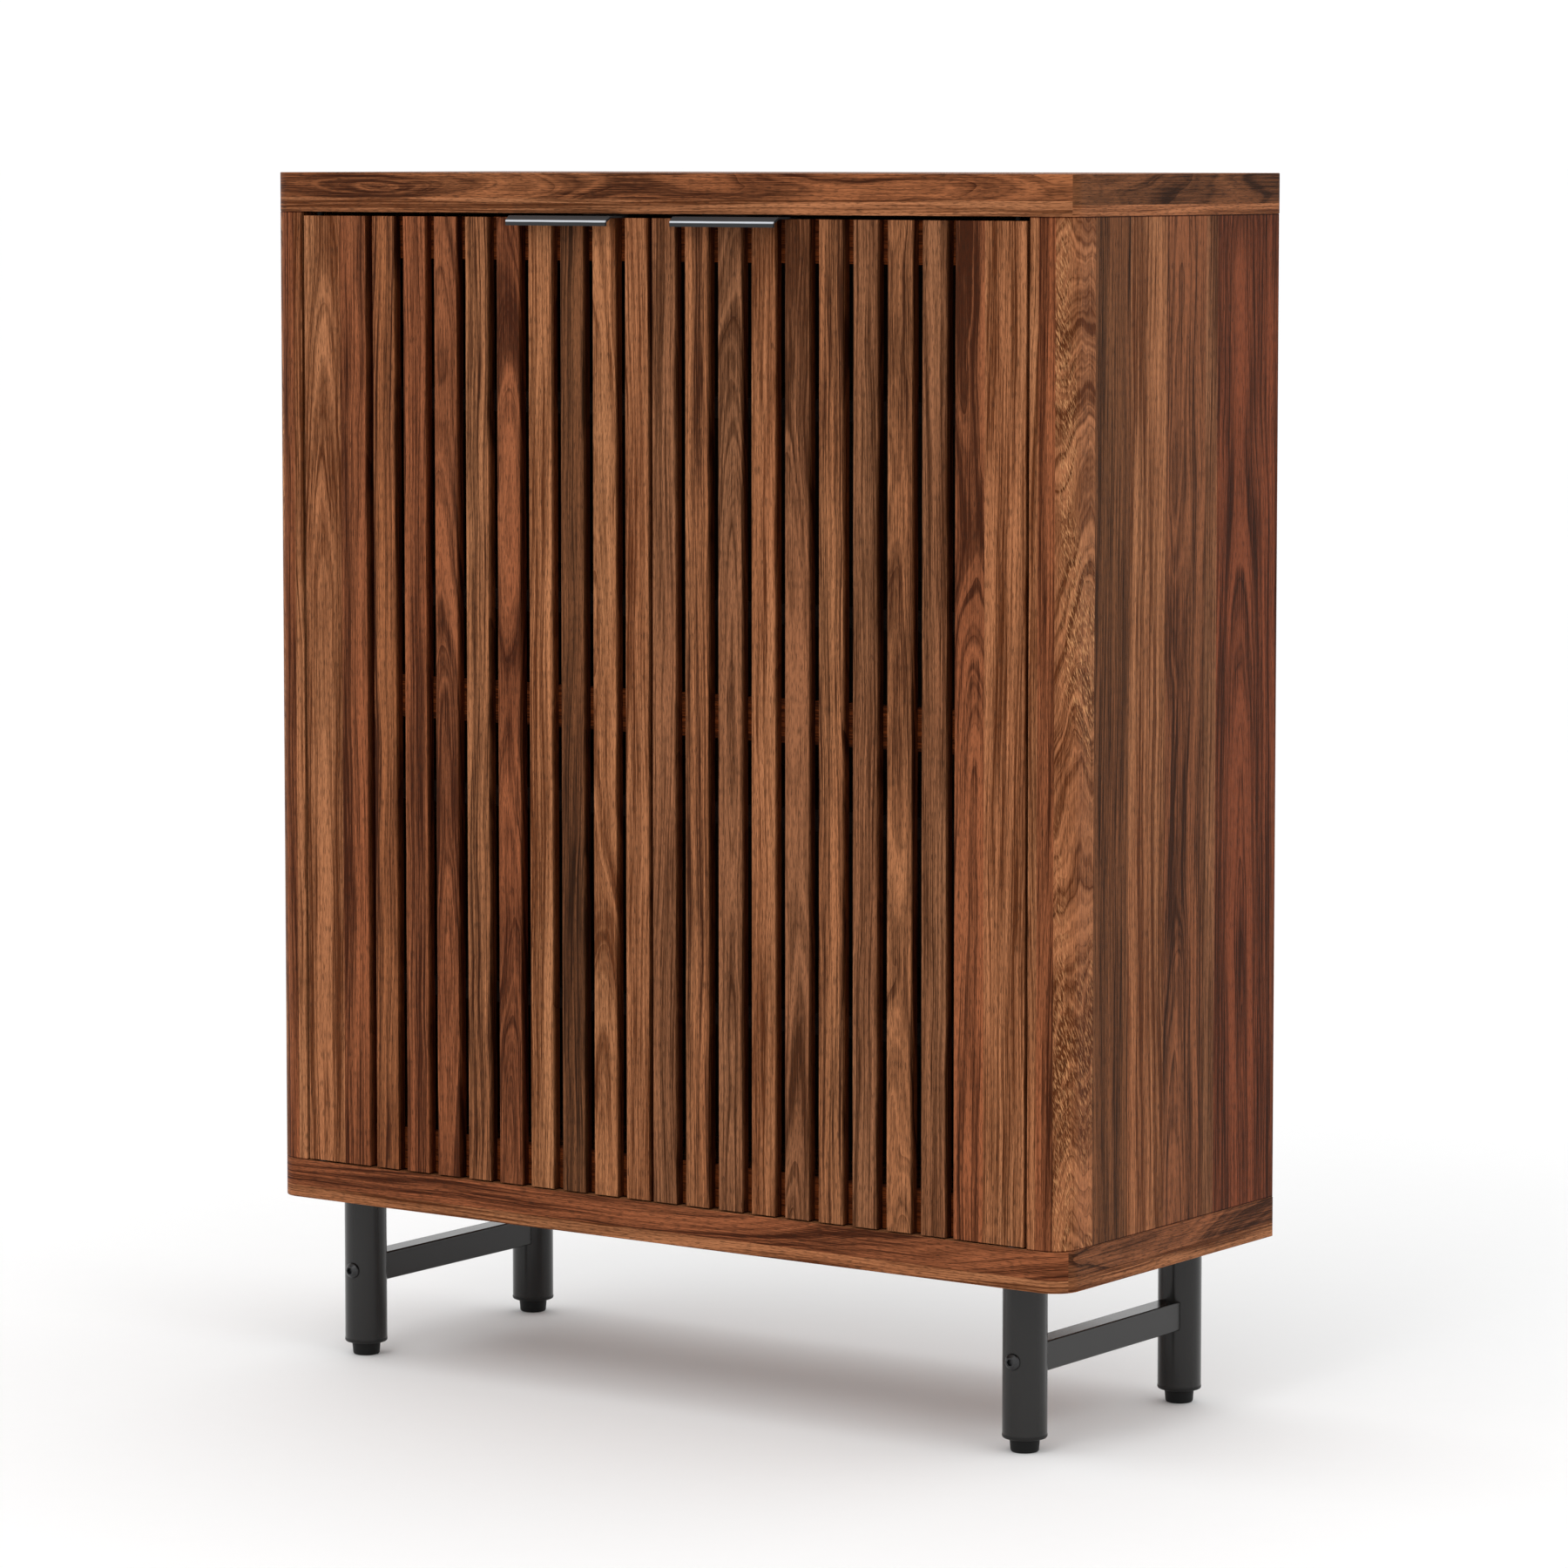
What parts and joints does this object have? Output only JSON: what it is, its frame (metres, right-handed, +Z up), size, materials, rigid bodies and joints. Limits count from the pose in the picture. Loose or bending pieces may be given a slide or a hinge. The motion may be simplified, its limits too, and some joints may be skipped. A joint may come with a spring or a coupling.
{
  "type": "shoe cabinet",
  "caption": "Shoe cabinet with slatted hinged doors, adjustable shelves, edge pulls and a low steel leg frame on levelling feet.",
  "frame": {"origin": "on the floor, centre of the outline in X and Y", "axes": "+Z up, +X to the right seen from the front, front faces -Y"},
  "size_m": [0.8, 0.3368, 1.012],
  "materials": {
    "walnut_panel": "satin walnut, horizontal grain on the top and bottom edges",
    "walnut_stile": "satin walnut, vertical grain",
    "walnut_slat": "satin walnut, vertical grain, tone differs by slat",
    "walnut_rail": "satin dark walnut, horizontal grain",
    "shelf_board": "matt dark stained board",
    "back_board": "matt dark stained thin board",
    "dowel_beech": "plain beech",
    "frame_paint": "dark grey satin powder coat",
    "bolt_black": "blackened steel",
    "pull_metal": "dark anodised, satin",
    "screw_steel": "zinc plated",
    "pin_steel": "ground steel",
    "strike_steel": "zinc plated",
    "support_steel": "nickel plated",
    "nylon": "natural nylon",
    "catch_plastic": "moulded dark brown",
    "cap_plastic": "moulded dark grey",
    "foot_plastic": "moulded black"
  },
  "bodies": {
    "carcass": {"top_panel": "walnut_panel", "bottom_panel": "walnut_panel", "left_side_panel": "walnut_panel", "right_side_panel": "walnut_panel", "back_panel": "back_board", "shelf_1": "shelf_board", "shelf_2": "shelf_board", "shelf_3": "shelf_board", "shelf_4": "shelf_board", "shelf_supports": "support_steel", "carcass_dowels": "dowel_beech", "pivot_bushes": "nylon", "pivot_washers": "nylon", "magnetic_catches": "catch_plastic", "frame_bolts": "bolt_black", "leg_end_caps": "cap_plastic", "front_left_leg": "frame_paint", "front_right_leg": "frame_paint", "back_left_leg": "frame_paint", "back_right_leg": "frame_paint", "left_stretcher": "frame_paint", "right_stretcher": "frame_paint"},
    "left_door": {"left_stile": "walnut_stile", "left_bottom_rail": "walnut_rail", "left_middle_rail": "walnut_rail", "left_top_rail": "walnut_rail", "left_slat_1": "walnut_slat", "left_slat_2": "walnut_slat", "left_slat_3": "walnut_slat", "left_slat_4": "walnut_slat", "left_slat_5": "walnut_slat", "left_slat_6": "walnut_slat", "left_slat_7": "walnut_slat", "left_slat_8": "walnut_slat", "left_slat_9": "walnut_slat", "left_pull": "pull_metal", "left_pull_screws": "screw_steel", "left_pivot_pins": "pin_steel", "left_strike_plate": "strike_steel"},
    "right_door": {"right_stile": "walnut_stile", "right_bottom_rail": "walnut_rail", "right_middle_rail": "walnut_rail", "right_top_rail": "walnut_rail", "right_slat_1": "walnut_slat", "right_slat_2": "walnut_slat", "right_slat_3": "walnut_slat", "right_slat_4": "walnut_slat", "right_slat_5": "walnut_slat", "right_slat_6": "walnut_slat", "right_slat_7": "walnut_slat", "right_slat_8": "walnut_slat", "right_slat_9": "walnut_slat", "right_pull": "pull_metal", "right_pull_screws": "screw_steel", "right_pivot_pins": "pin_steel", "right_strike_plate": "strike_steel"},
    "front_left_foot": {"front_left_foot": "foot_plastic"},
    "front_right_foot": {"front_right_foot": "foot_plastic"},
    "back_left_foot": {"back_left_foot": "foot_plastic"},
    "back_right_foot": {"back_right_foot": "foot_plastic"}
  },
  "joints": [
    {"name": "left_door_hinge", "type": "hinge", "parent": "carcass", "child": "left_door", "pos_m": [-0.351, -0.1436, 0.575], "axis": [0, 0, -1], "range_deg": [0, 110]},
    {"name": "right_door_hinge", "type": "hinge", "parent": "carcass", "child": "right_door", "pos_m": [0.351, -0.1436, 0.575], "axis": [0, 0, 1], "range_deg": [0, 110]},
    {"name": "front_left_foot_screw", "type": "slide", "parent": "carcass", "child": "front_left_foot", "axis": [0, 0, -1], "range_m": [0, 0.008]},
    {"name": "front_right_foot_screw", "type": "slide", "parent": "carcass", "child": "front_right_foot", "axis": [0, 0, -1], "range_m": [0, 0.008]},
    {"name": "back_left_foot_screw", "type": "slide", "parent": "carcass", "child": "back_left_foot", "axis": [0, 0, -1], "range_m": [0, 0.008]},
    {"name": "back_right_foot_screw", "type": "slide", "parent": "carcass", "child": "back_right_foot", "axis": [0, 0, -1], "range_m": [0, 0.008]}
  ]
}
